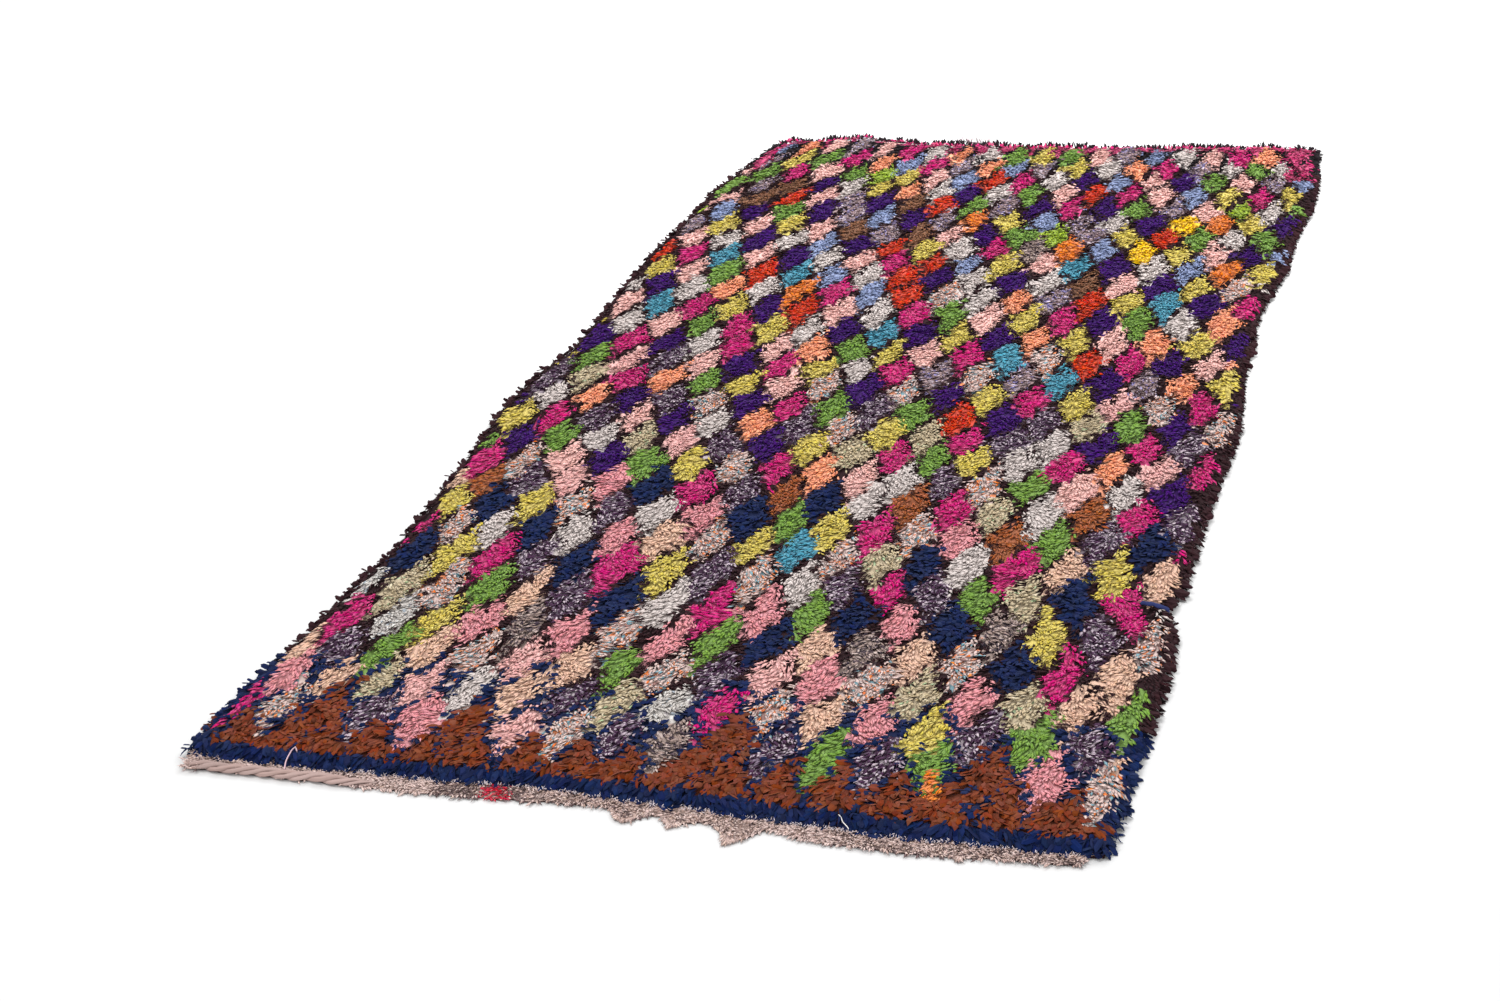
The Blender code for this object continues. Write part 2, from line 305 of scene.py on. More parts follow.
def choose_lozenges():
    """A cloth for each lozenge of the lattice, so that neighbours seldom match."""
    chosen = {}
    for n in range(0, LAST_ROW + 1):
        for j in range(-LOZENGES_WIDE - 2, LOZENGES_WIDE + 2):
            i = j + n
            if abs(i + j + 1) > LOZENGES_WIDE:
                continue
            along = LOZENGE_BASE + n / 2 * LOZENGE_LONG
            if n == 0 or (n == 1 and (i + j + 1) // 2 in BROWN_PEAKS):
                chosen[i, j] = "brown"
                continue
            if n == LAST_ROW:
                chosen[i, j] = "far_magenta"
                continue
            shares = zone_shares(along)
            beside = [chosen.get((i - 1, j)), chosen.get((i, j + 1))]
            avoid = set(beside) | {chosen.get((i - 1, j - 1)), chosen.get((i - 1, j + 1))}
            if n < ROWS_WITHOUT_NAVY:
                avoid.add("navy")
            repeat = beside[int(rng.integers(2))]
            if rng.random() < SAME_BESIDE and repeat in shares:
                chosen[i, j] = repeat
                continue
            names = [name for name in shares if name not in avoid]
            weights = np.array([shares[name] for name in names], float)
            chosen[i, j] = names[rng.choice(len(names), p=weights / weights.sum())]
    return chosen


lozenges = choose_lozenges()


def set_singles():
    """Give the single lozenges that stand out their own cloths."""
    for cloth, across, along in SINGLES:
        y = foot_y + along
        u = (across - left_x(y)) / (right_x(y) - left_x(y))
        p, q = lattice(u, along)
        lozenges[int(math.floor(p)), int(math.floor(q))] = cloth


set_singles()

cloth_names = list(CLOTHS)
cloth_number = {name: number for number, name in enumerate(cloth_names)}


def knot_cloths():
    """The cloth of every knot, row by row, as numbers."""
    row, column = np.meshgrid(np.arange(ROWS), np.arange(KNOTS), indexing="ij")
    u = (column + 0.5) / KNOTS
    along = (row + 0.5) / ROWS * PILE_LONG
    x = (u - 0.5) * STRAIGHT_WIDE
    p, q = lattice(u + rng.normal(0, STRAY_ACROSS, u.shape), along + rng.normal(0, STRAY_ALONG, u.shape))
    thick = np.interp(along, OUTLINE_ALONG, OUTLINE_THICK) * (1 + 0.4 * outline_gap(x, along))
    outline = (p % 1 < thick) | (q % 1 < thick)
    outline &= rng.random(u.shape) > 0.05
    cloths = np.zeros(u.shape, int)
    for r in range(ROWS):
        for c in range(KNOTS):
            cell = int(math.floor(p[r, c])), int(math.floor(q[r, c]))
            cloths[r, c] = cloth_number[lozenges.get(cell, "plum")]
    patch_x, patch_along, patch_wide, patch_long = ORANGE_PATCH
    patch = ((x - patch_x) / patch_wide) ** 2 + ((along - patch_along) / patch_long) ** 2 < 1
    cloths[patch] = cloth_number["orange"]
    outline &= ~patch
    side = np.minimum(column, KNOTS - 1 - column)
    far_border = (along > FAR_BORDER_STARTS) & (side < np.where(u > 0.5, 8, 5))
    cloths[far_border] = cloth_number["far_magenta"]
    outline &= ~((along > OUTLINE_THINS) & (rng.random(u.shape) < 0.8))
    navy_ends = NAVY_ENDS + 0.05 * outline_gap(x * 0.6, along)
    dark = np.where(along < navy_ends, cloth_number["navy"], cloth_number["plum"])
    dark = np.where(along > CHARCOAL_STARTS, cloth_number["charcoal"], dark)
    selvedge = (side < 1) | ((side < 2) & (rng.random(u.shape) < np.where(u < 0.5, 0.9, 0.5)))
    cloths = np.where(outline | selvedge, dark, cloths)
    cloths[along < BAND_LONG] = cloth_number["navy"]
    return cloths


knots = knot_cloths()


def link(name, data):
    """A new object of this name, in the scene."""
    made = bpy.data.objects.new(name, data)
    bpy.context.scene.collection.objects.link(made)
    return made


# Meshes made of spindles: a root, some rings and a tip
TRIANGLE = np.array([math.pi, 2 * math.pi, 2.5 * math.pi])
BAKE_FILL = 0.86
BAKE_MARGIN = 0.07


def ring(centre, side, lift, angles=TRIANGLE):
    """Points round a centre, turning from the left over the bottom to the right."""
    cosine, sine = np.cos(angles)[None, :, None], np.sin(angles)[None, :, None]
    return centre[:, None, :] + side[:, None, :] * cosine + lift[:, None, :] * sine


def spindle_faces(rings, corners):
    """Faces of one spindle, as corner numbers and as the maps' places."""
    faces, places = [], []
    tip = 1 + rings * corners
    for k in range(corners):
        after = (k + 1) % corners
        near, far = k / corners, (k + 1) / corners
        middle = (near + far) / 2
        faces.append((0, 1 + k, 1 + after))
        places.append(((middle, 0), (near, 1), (far, 1)))
        for m in range(rings - 1):
            here, there = 1 + m * corners, 1 + (m + 1) * corners
            faces.append((here + k, there + k, there + after, here + after))
            places.append(((near, m + 1), (near, m + 2), (far, m + 2), (far, m + 1)))
        last = 1 + (rings - 1) * corners
        faces.append((tip, last + after, last + k))
        places.append(((middle, rings + 1), (far, rings), (near, rings)))
    return faces, [[(u, v / (rings + 1)) for u, v in face] for face in places]


def build_piece(name, batches, cloths, smooth=True):
    """One object of spindles. Each batch holds root, rings, tip, number and cloth index arrays."""
    corner_list, start_list, co_list, tuft_list = [], [], [], []
    strand_list, bake_list, cloth_list = [], [], []
    points, corners_so_far, spindles = 0, 0, sum(len(batch["root"]) for batch in batches)
    band_low = 0.0
    for batch in batches:
        root, rings, tip = batch["root"], batch["rings"], batch["tip"]
        count, ring_count, corner_count = len(root), rings.shape[1], rings.shape[2]
        faces, places = spindle_faces(ring_count, corner_count)
        size = 2 + ring_count * corner_count
        co = np.concatenate([root[:, None], rings.reshape(count, -1, 3), tip[:, None]], axis=1)
        co_list.append(co.reshape(-1, 3))
        tuft_list.append(np.repeat(batch["number"], size))
        template = np.concatenate([np.array(face) for face in faces])
        offsets = points + size * np.arange(count)
        corner_list.append((template[None, :] + offsets[:, None]).ravel())
        lengths = np.array([len(face) for face in faces])
        starts = np.concatenate([[0], np.cumsum(lengths)[:-1]])
        first_corners = corners_so_far + len(template) * np.arange(count)
        start_list.append((starts[None, :] + first_corners[:, None]).ravel())
        uv = np.concatenate([np.array(face) for face in places])
        strand_list.append(np.tile(uv, (count, 1)))
        share = batch.get("bake_share", count / spindles)
        columns = batch.get("columns") or max(1, int(math.ceil(math.sqrt(count / share))))
        lines = int(math.ceil(count / columns))
        cell = np.arange(count)
        corner = np.stack([cell % columns / columns, band_low + share * (cell // columns) / lines], axis=1)
        scale = np.array([BAKE_FILL / columns, BAKE_FILL * share / lines])
        margin = np.array([BAKE_MARGIN / columns, BAKE_MARGIN * share / lines])
        bake_list.append((corner[:, None] + margin + uv[None] * scale).reshape(-1, 2))
        cloth_list.append(np.repeat(batch["cloth"], len(faces)))
        band_low += share
        points += size * count
        corners_so_far += len(template) * count
    mesh = bpy.data.meshes.new(name)
    co, corner_points, face_starts = (np.concatenate(part) for part in (co_list, corner_list, start_list))
    mesh.vertices.add(len(co))
    mesh.vertices.foreach_set("co", co.astype(np.float32).ravel())
    mesh.loops.add(len(corner_points))
    mesh.loops.foreach_set("vertex_index", corner_points.astype(np.int32))
    mesh.polygons.add(len(face_starts))
    mesh.polygons.foreach_set("loop_start", face_starts.astype(np.int32))
    mesh.polygons.foreach_set("material_index", np.concatenate(cloth_list).astype(np.int32))
    mesh.update(calc_edges=True)
    for layer, part in (("Strand", strand_list), ("OFBake", bake_list)):
        spots = np.concatenate(part).astype(np.float32)
        mesh.uv_layers.new(name=layer).data.foreach_set("uv", spots.ravel())
    numbers = np.concatenate(tuft_list).astype(np.float32)
    mesh.attributes.new("tuft", "FLOAT", "POINT").data.foreach_set("value", numbers)
    mesh.polygons.foreach_set("use_smooth", np.full(len(face_starts), smooth))
    mesh.validate()
    piece = link(name, mesh)
    for cloth in cloths:
        mesh.materials.append(cloth_material(cloth))
    return piece


# Materials. Strands shade each other, so single strands are lighter than the pile that they make.
LEAF_CLOTHS = ("navy", "brown")
# Cloths that get the deepest painted shade at their strips' roots
DEEP_CLOTHS = ("navy", "brown", "plum", "charcoal", "dark_mottle", "purple")
DEEP_PILE_LIFT = 1.2
BRIGHTEST = 0.9
LEAF_SPREAD, SPREAD = 0.78, 0.20
# Painted shade: how much darker each strip is painted towards its root, standing in for the shade in the gaps
# between strands
LEAF_PAINTED_ROOT_SHADE, DEEP_PAINTED_ROOT_SHADE, PAINTED_ROOT_SHADE = 0.24, 0.34, 0.13
FLECKS_A_METRE = 90.0


def daylight(colour):
    """Colour as the shader takes it, from 0 to 255 as the eye sees it."""
    levels = np.array(colour) / 255
    light = np.where(levels <= 0.04045, levels / 12.92, ((levels + 0.055) / 1.055) ** 2.4)
    return tuple(np.minimum(light * DEEP_PILE_LIFT, BRIGHTEST)) + (1.0,)


def add(tree, kind, inputs=(), **settings):
    """A node with its settings, and its inputs set or linked."""
    node = tree.nodes.new(kind)
    for name, value in settings.items():
        setattr(node, name, value)
    for socket, value in dict(inputs).items():
        if isinstance(value, bpy.types.NodeSocket):
            tree.links.new(value, node.inputs[socket])
        else:
            node.inputs[socket].default_value = value
    return node


def set_values(node, values):
    for socket, value in values.items():
        node.inputs[socket].default_value = value


def calculate(tree, operation, *values):
    node = add(tree, "ShaderNodeMath", operation=operation)
    for socket, value in zip(node.inputs, values):
        if isinstance(value, bpy.types.NodeSocket):
            tree.links.new(value, socket)
        else:
            socket.default_value = value
    return node.outputs[0]


def start_group(name, inputs, outputs):
    group = bpy.data.node_groups.new(name, "ShaderNodeTree")
    for socket, kind in inputs:
        group.interface.new_socket(socket, in_out="INPUT", socket_type="NodeSocket" + kind)
    for socket, kind in outputs:
        group.interface.new_socket(socket, in_out="OUTPUT", socket_type="NodeSocket" + kind)
    return group, group.nodes.new("NodeGroupInput").outputs, group.nodes.new("NodeGroupOutput").inputs


def rag_cloth_group():
    """Tone of a rag strip: it differs from tuft to tuft, is painted darker towards the root as painted shade
    between strands, and shows its threads.
    """
    inputs = (("Cloth", "Color"), ("Tuft", "Float"), ("Strand", "Vector"), ("Spread", "Float"),
              ("Painted root shade", "Float"))
    group, given, result = start_group("Rag cloth", inputs, (("Colour", "Color"), ("Threads", "Float")))
    noise = add(group, "ShaderNodeTexWhiteNoise", noise_dimensions="1D",
                inputs={"W": calculate(group, "MULTIPLY", given["Tuft"], 977.0)})
    split = add(group, "ShaderNodeSeparateColor", inputs={"Color": noise.outputs["Color"]})
    strand = add(group, "ShaderNodeSeparateXYZ", inputs={"Vector": given["Strand"]})
    seed = calculate(group, "MULTIPLY", given["Tuft"], 431.0)
    across = calculate(group, "MULTIPLY_ADD", strand.outputs["X"], 9.0, seed)
    lengthwise = calculate(group, "MULTIPLY", strand.outputs["Y"], 1.6)
    spot = add(group, "ShaderNodeCombineXYZ", inputs={"X": across, "Y": lengthwise, "Z": seed})
    threads = add(group, "ShaderNodeTexNoise", inputs={
        "Vector": spot.outputs[0], "Scale": 1.0, "Detail": 2.0})
    # Painted shade: the strip is painted darker towards its root, where the strands shade each other
    root = add(group, "ShaderNodeMapRange", interpolation_type="SMOOTHSTEP", inputs={
        "Value": strand.outputs["Y"], "From Min": 0.0, "From Max": 0.6, "To Min": 0.0, "To Max": 1.0})
    depth = calculate(group, "SUBTRACT", 1.0, given["Painted root shade"])
    shade = calculate(group, "MULTIPLY_ADD", root.outputs[0], given["Painted root shade"], depth)
    apart = calculate(group, "SUBTRACT", split.outputs[0], 0.5)
    spread = calculate(group, "MULTIPLY_ADD", apart, given["Spread"], 1.0)
    streak = calculate(group, "MULTIPLY_ADD", threads.outputs["Fac"], 0.6, 0.70)
    tone = calculate(group, "MULTIPLY", calculate(group, "MULTIPLY", shade, spread), streak)
    faded = add(group, "ShaderNodeHueSaturation", inputs={
        "Color": given["Cloth"], "Value": tone,
        "Saturation": calculate(group, "MULTIPLY_ADD", split.outputs[1], 0.2, 0.9),
        "Hue": calculate(group, "MULTIPLY_ADD", split.outputs[2], 0.016, 0.492)})
    group.links.new(faded.outputs[0], result["Colour"])
    group.links.new(threads.outputs["Fac"], result["Threads"])
    return group


def fleck_group():
    """Printed or mottled cloth: each strip shows a few of the print's colours."""
    inputs = (("Cloth", "Color"), ("First", "Color"), ("Second", "Color"), ("Third", "Color"),
              ("Amount", "Float"), ("Tuft", "Float"), ("Place", "Vector"))
    group, given, result = start_group("Printed flecks", inputs, (("Colour", "Color"),))
    shift = add(group, "ShaderNodeCombineXYZ", inputs={
        "Z": calculate(group, "MULTIPLY", given["Tuft"], 61.0)})
    spot = add(group, "ShaderNodeVectorMath", operation="MULTIPLY_ADD", inputs={
        0: given["Place"], 1: (FLECKS_A_METRE,) * 3, 2: shift.outputs[0]})
    cells = add(group, "ShaderNodeTexVoronoi", inputs={"Vector": spot.outputs[0], "Scale": 1.0})
    pick = add(group, "ShaderNodeSeparateColor", inputs={"Color": cells.outputs["Color"]})
    late = add(group, "ShaderNodeMix", data_type="RGBA", inputs={
        0: calculate(group, "GREATER_THAN", pick.outputs[1], 0.7), 6: given["Second"], 7: given["Third"]})
    early = add(group, "ShaderNodeMix", data_type="RGBA", inputs={
        0: calculate(group, "LESS_THAN", pick.outputs[1], 0.38), 6: late.outputs[2], 7: given["First"]})
    printed = calculate(group, "LESS_THAN", pick.outputs[0], given["Amount"])
    fleck = add(group, "ShaderNodeMix", data_type="RGBA", inputs={
        0: printed, 6: given["Cloth"], 7: early.outputs[2]})
    group.links.new(fleck.outputs[2], result["Colour"])
    return group


RAG_CLOTH = rag_cloth_group()
PRINTED_FLECKS = fleck_group()
cloth_materials = {}


def cloth_material(name):
    """Matt rag cloth in the named colour, with flecks where the cloth was printed."""
    if name in cloth_materials:
        return cloth_materials[name]
    material = bpy.data.materials.new(name)
    material.use_nodes = True
    tree = material.node_tree
    shader = tree.nodes["Principled BSDF"]
    tuft = add(tree, "ShaderNodeAttribute", attribute_name="tuft").outputs["Fac"]
    strand = add(tree, "ShaderNodeUVMap", uv_map="Strand").outputs[0]
    colour = daylight(CLOTHS[name])
    # Painted shade at the strips' roots, with its own amount for dark cloths and for leaf cloths
    spread, painted_root_shade = SPREAD, DEEP_PAINTED_ROOT_SHADE if name in DEEP_CLOTHS else PAINTED_ROOT_SHADE
    if name in LEAF_CLOTHS:
        spread, painted_root_shade = LEAF_SPREAD, LEAF_PAINTED_ROOT_SHADE
    cloth = add(tree, "ShaderNodeGroup", node_tree=RAG_CLOTH, inputs={
        "Cloth": colour, "Tuft": tuft, "Strand": strand, "Spread": spread, "Painted root shade": painted_root_shade})
    if name in FLECKS:
        amount, (first, second, third) = FLECKS[name]
        place_node = add(tree, "ShaderNodeTexCoord").outputs["Object"]
        flecks = add(tree, "ShaderNodeGroup", node_tree=PRINTED_FLECKS, inputs={
            "Cloth": colour, "First": daylight(first), "Second": daylight(second), "Third": daylight(third),
            "Amount": amount, "Tuft": tuft, "Place": place_node})
        tree.links.new(flecks.outputs[0], cloth.inputs["Cloth"])
    bump = add(tree, "ShaderNodeBump", inputs={
        "Height": cloth.outputs["Threads"], "Strength": 0.5, "Distance": 0.0008})
    tree.links.new(cloth.outputs["Colour"], shader.inputs["Base Color"])
    tree.links.new(bump.outputs[0], shader.inputs["Normal"])
    set_values(shader, {"Roughness": 0.88, "Specular IOR Level": 0.06, "Sheen Weight": 0.02,
                        "Sheen Roughness": 0.5})
    cloth_materials[name] = material
    return material


# Strands of the pile, with their sizes from the least to the most
BED_UNDER = 0.0004
STRAND_LOW = 0.0008
PILE_DEEP = 0.0030
SWAY = 0.0012
TAPER = 0.15
COMB, TUFT_COMB, RIM_PUSH = 0.45, 1.05, 2.2
CUT_SHARE = 0.62
FINE_PER_KNOT = 6
FINE_REACH, DARK_REACH = (0.014, 0.023), (0.011, 0.017)
FINE_WIDTH, FINE_THICK = (0.0038, 0.0068), (0.0003, 0.0006)
LEAF_PER_KNOT = {"navy": 4, "brown": 5}
LEAF_LARGE = {"navy": 1.0, "brown": 1.3}
LEAF_REACH, LEAF_WIDTH, LEAF_THICK = (0.011, 0.020), (0.0055, 0.0092), (0.0007, 0.0012)


def bed_height(x, y):
    """Top of the ground weave with its packed knots, where the loose part of the strands begins."""
    return np.maximum(top(x, y) - PILE_DEEP, WOVEN_TOP)


def outward(x, y, reach=0.030):
    """How far a root leans out over the nearest rim, as an x and a y share."""
    def near(distance):
        return np.clip(1 - distance / reach, 0, 1) ** 1.5

    push_x = near(right_x(y) - x) - near(x - left_x(y))
    push_y = near(far_y(x) - y) - near(y - pile_foot_y(x))
    return push_x, push_y


def strands(x, y, heading, reach, width, thick, shares, sink=(), roll=0.6, root_z=None, tip_z=None):
    """Bent rag strips that leave the weave at x, y and lie over in the direction heading.

    shares are the rings' places between root and tip. sink holds how far below the rug's top the
    rings and the tip lie, where tip_z doesn't give the tip's height. roll turns the strips about
    their own length.
    """
    count = len(x)
    forward = np.stack([np.cos(heading), np.sin(heading), np.zeros(count)], axis=1)
    right = np.stack([np.sin(heading), -np.cos(heading), np.zeros(count)], axis=1)
    root_z = bed_height(x, y) if root_z is None else root_z
    root = np.stack([x, y, root_z], axis=1)
    angle = rng.normal(0, roll, count)
    upward = np.zeros((count, 3))
    upward[:, 2] = 1
    side = right * np.cos(angle)[:, None] + upward * np.sin(angle)[:, None]
    lift = upward * np.cos(angle)[:, None] - right * np.sin(angle)[:, None]
    sway = rng.normal(0, SWAY, count)
    rings = []
    for order, share in enumerate(shares):
        centre = root + forward * (reach * share)[:, None] + right * (sway * share)[:, None]
        if tip_z is None:
            centre[:, 2] = top(centre[:, 0], centre[:, 1]) - sink[order]
        else:
            centre[:, 2] = root_z + (tip_z - root_z) * share ** 1.5
        half = width / 2 * (1.0 - TAPER * order)
        around = ring(centre, side * half[:, None], lift * thick[:, None])
        around[..., 2] = np.maximum(around[..., 2], STRAND_LOW + 0.25 * np.abs(around[..., 2] - STRAND_LOW))
        rings.append(around)
    tip = root + forward * reach[:, None] + right * (sway * 2)[:, None]
    tip[:, 2] = top(tip[:, 0], tip[:, 1]) - sink[-1] if tip_z is None else tip_z
    tip[:, 2] = np.maximum(tip[:, 2], STRAND_LOW)
    return dict(root=root, rings=np.stack(rings, axis=1), tip=tip, number=rng.random(count),
                cloth=np.zeros(count, int))


comb, tuft_comb, tuft_height = wander(0.18), wander(0.032), wander(0.013)
OUTLINE_CLOTHS = ("plum", "charcoal")
pile = {name: [] for name in cloth_names}
leaves = {name: [] for name in cloth_names}


def spread_knots(chosen, per_knot):
    """Root places of the strands of the chosen knots, so many to a knot."""
    row, column = np.nonzero(chosen)
    row, column = np.repeat(row, per_knot), np.repeat(column, per_knot)
    u = (column + 0.5 + rng.uniform(-0.55, 0.55, len(row))) / KNOTS
    along = (row + 0.75 + rng.uniform(-0.52, 0.52, len(row))) / ROWS * PILE_LONG
    x, y = place(np.clip(u, 0.001, 0.999), np.clip(along, 0.012, PILE_LONG - 0.004))
    return x, y


def straighten(x, y):
    """Share across and distance along of a spot, as in a rug with straight edges."""
    u = (x - left_x(y)) / (right_x(y) - left_x(y))
    return u, (y - pile_foot_y(x)) / (far_y(x) - pile_foot_y(x)) * PILE_LONG


def cut_at_outline(x, y, heading, reach):
    """Shorter reach for the strands whose tips would lie over another lozenge or its outline."""
    u, along = straighten(x, y)
    tip_u, tip_along = straighten(x + np.cos(heading) * reach, y + np.sin(heading) * reach)
    (p, q), (tip_p, tip_q) = lattice(u, along), lattice(tip_u, tip_along)
    over = (np.floor(p) != np.floor(tip_p)) | (np.floor(q) != np.floor(tip_q))
    return np.where(over, reach * CUT_SHARE, reach)


def headings(x, y, spread):
    """Plan direction of each strand: towards the woven end, combed a little, and out at the rims."""
    combed = -math.pi / 2 + COMB * comb(x, y) + TUFT_COMB * tuft_comb(x, y) + rng.normal(0, spread, len(x))
    push_x, push_y = outward(x, y)
    return np.arctan2(np.sin(combed) + RIM_PUSH * push_y, np.cos(combed) + RIM_PUSH * push_x)


def add_fine_pile():
    for name in cloth_names:
        chosen = knots == cloth_number[name]
        if name in LEAF_CLOTHS or not chosen.any():
            continue
        x, y = spread_knots(chosen, FINE_PER_KNOT)
        count = len(x)
        dark = name in OUTLINE_CLOTHS
        heading = headings(x, y, 0.26)
        reach = rng.uniform(*(DARK_REACH if dark else FINE_REACH), count)
        if not dark:
            reach = cut_at_outline(x, y, heading, reach)
        width = rng.uniform(*FINE_WIDTH, count)
        thick = rng.uniform(*FINE_THICK, count)
        rough = np.interp(y - foot_y, (0.0, 1.0, 2.2), (0.6, 1.0, 1.3))
        high = 0.0006 + 0.0011 * tuft_height(x, y) + rng.normal(0, 0.0004, count) * rough
        sink = (high + 0.0008 * rough, high - rng.uniform(0.0001, 0.0010, count) * rough)
        pile[name].append(strands(x, y, heading, reach, width, thick, (0.55,), sink, roll=0.3 * rough))


def add_leaf_pile():
    for name in LEAF_CLOTHS:
        x, y = spread_knots(knots == cloth_number[name], LEAF_PER_KNOT[name])
        count = len(x)
        reach = rng.uniform(*LEAF_REACH, count) * LEAF_LARGE[name]
        width = rng.uniform(*LEAF_WIDTH, count) * (0.5 + 0.5 * LEAF_LARGE[name])
        thick = rng.uniform(*LEAF_THICK, count)
        high = 0.0002 + 0.0012 * tuft_height(x, y) + rng.normal(0, 0.0005, count)
        sink = (high + 0.0012, high, high + rng.uniform(-0.0008, 0.0010, count))
        heading = headings(x, y, 0.55)
        leaves[name].append(strands(x, y, heading, reach, width, thick, (0.38, 0.82), sink, roll=0.4))


# The band's layers: how far back from the pile's foot, heights of root and tip, and reach
BAND_LAYERS = ((0.020, 0.0165, 0.0120, 0.020), (0.013, 0.0120, 0.0080, 0.018), (0.007, 0.0085, 0.0045, 0.016))

# The selvedges' tufts: edge, way out, extra height of the roots and highest tip, then each layer's
# inset, height and reach
SELVEDGES = ((left_x, math.pi, 0.003, 0.020), (right_x, 0.0, 0.0, 0.011))
SELVEDGE_LAYERS = ((0.002, 0.0085, 0.0165), (0.005, 0.0135, 0.0175))
TUFT_SPACING = 0.0090
TIE_ROOM = 0.007

# The far end's tufts: cloth, height and spacing, then cloth, count, distance back and rise
FAR_TUFTS = (("charcoal", 0.010, 0.0085), ("far_magenta", 0.0135, 0.0150))
RAISED_TUFTS = (("charcoal", 620, 0.004, 0.0095), ("far_magenta", 260, 0.010, 0.0045))


def add_tufts(name, x, y, heading, reach, width, thick, root_z, tip_z, shares=(0.45, 0.85)):
    """Tufts of one cloth, from one height at the root to another at the tip."""
    leaves[name].append(strands(x, y, heading, reach, width, thick, shares, root_z=root_z, tip_z=tip_z))


def add_band():
    """Navy tufts that hang over the pile's foot in three layers."""
    for back, root_z, tip_z, out in BAND_LAYERS:
        count = 300
        u = (np.arange(count) + rng.uniform(-0.5, 0.5, count)) / count
        x, _ = place(np.clip(u, 0.012, 1.0), np.full(count, 0.02))
        y = pile_foot_y(x) + back + rng.normal(0, 0.0015, count)
        heading = -math.pi / 2 + 1.1 * tuft_comb(x, y) + rng.normal(0, 0.38, count)
        reach = out * rng.uniform(0.75, 1.2, count) / np.maximum(np.sin(-heading), 0.6)
        width = rng.uniform(0.007, 0.013, count)
        thick = rng.uniform(0.0012, 0.0026, count)
        low = tip_z + rng.normal(0, 0.0012, count)
        add_tufts("navy", x, y, heading, reach, width, thick, root_z + rng.normal(0, 0.001, count), low)
    count = 16
    y = foot_y + rng.uniform(0.035, 0.100, count)
    x = left_x(y) + rng.uniform(0.002, 0.010, count)
    heading = math.pi + rng.normal(0.1, 0.3, count)
    reach, width = rng.uniform(0.012, 0.024, count), rng.uniform(0.006, 0.010, count)
    add_tufts("brown", x, y, heading, reach, width, np.full(count, 0.0014), np.full(count, 0.0135),
              rng.uniform(0.004, 0.012, count))


def rim_cloth(along):
    """Cloth of the selvedge tufts at a distance along."""
    if along < NAVY_RIM_ENDS:
        return "navy"
    return "charcoal" if along > CHARCOAL_STARTS else "plum"


clump = wander(0.028)


def add_rim():
    """Tufts that stick out past the selvedges."""
    for edge, normal, raised, highest in SELVEDGES:
        for inset, height, out in SELVEDGE_LAYERS:
            along = np.arange(0.004, 2.90, TUFT_SPACING)
            along = along + rng.normal(0, 0.006, len(along))
            along = along[(edge is left_x) | (np.abs(foot_y + along - tie_y) > TIE_ROOM)]
            for name in ("navy", "plum", "charcoal"):
                mine = np.array([rim_cloth(value) == name for value in along])
                if not mine.any():
                    continue
                y = foot_y + along[mine]
                count = len(y)
                inward = -math.cos(normal)
                x = edge(y) + inward * (inset + rng.uniform(0, 0.004, count))
                heading = normal + rng.normal(0, 0.55, count) - 0.25 * math.cos(normal)
                reach = out * rng.uniform(0.65, 1.0, count) * (1 + 0.4 * clump(edge(y), y))
                width = rng.uniform(0.0065, 0.0125, count)
                thick = rng.uniform(0.0014, 0.0028, count)
                tip_z = rng.uniform(0.0015, highest, count)
                root_z = height + raised + rng.normal(0, 0.001, count)
                add_tufts(name, x, y, heading, reach, width, thick, root_z, tip_z)


def add_far_rim():
    """Tufts that stick out past the far end, and those that stand up along it."""
    for name, height, spacing in FAR_TUFTS:
        x = np.arange(-0.64, 0.655, spacing)
        x = x + rng.normal(0, 0.003, len(x))
        count = len(x)
        y = far_y(x) - rng.uniform(0.004, 0.010, count)
        heading = math.pi / 2 + rng.normal(0, 0.5, count)
        reach = rng.uniform(0.011, 0.022, count)
        width = rng.uniform(0.0045, 0.0078, count)
        thick = rng.uniform(0.0011, 0.0020, count)
        tip_z = rng.uniform(0.0015, 0.0100, count)
        add_tufts(name, x, y, heading, reach, width, thick, height + rng.normal(0, 0.001, count), tip_z)
    for name, count, back, rise in RAISED_TUFTS:
        x = rng.uniform(-0.645, 0.655, count)
        y = far_y(x) - back - rng.uniform(0.0, 0.012, count)
        heading = math.pi / 2 + rng.normal(0, 0.7, count)
        root_z = np.maximum(top(x, y) - 0.004, 0.008)
        tip_z = root_z + rise * (1 + 0.8 * clump(x, y)) + rng.normal(0, 0.0015, count)
        reach, width = rng.uniform(0.008, 0.015, count), rng.uniform(0.004, 0.007, count)
        add_tufts(name, x, y, heading, reach, width, np.full(count, 0.0013), root_z,
                  np.clip(tip_z, 0.012, 0.038), (0.35, 0.80))


add_fine_pile()
add_leaf_pile()
add_band()
add_rim()
add_far_rim()


# The flat-woven end
WOVEN_LEFT = 0.015
WOVEN_RIGHT = 0.028
FUZZ_FIBRES, TAB_FIBRES, CORNER_FIBRES, STITCHES = 8200, 160, 260, 640
ROPE_STOP = -0.345
ROPE_STEPS = 110
ROPE_STRANDS = 3
ROPE_PITCH = 0.078
ROPE_INSIDE = 0.0095
ROPE_HEIGHT = 0.0058
ROPE_SWING, ROPE_LIFT = 0.0062, 0.0024
ROPE_RADIUS, ROPE_FLAT = 0.0046, 0.62
ROPE_BAKE_SHARE = 0.06
ROPE_SIDES = 7
ROUND = np.arange(ROPE_SIDES) * 2 * math.pi / ROPE_SIDES + math.pi
woven_from = left_x(foot_y) + WOVEN_LEFT
woven_to = right_x(foot_y) - WOVEN_RIGHT

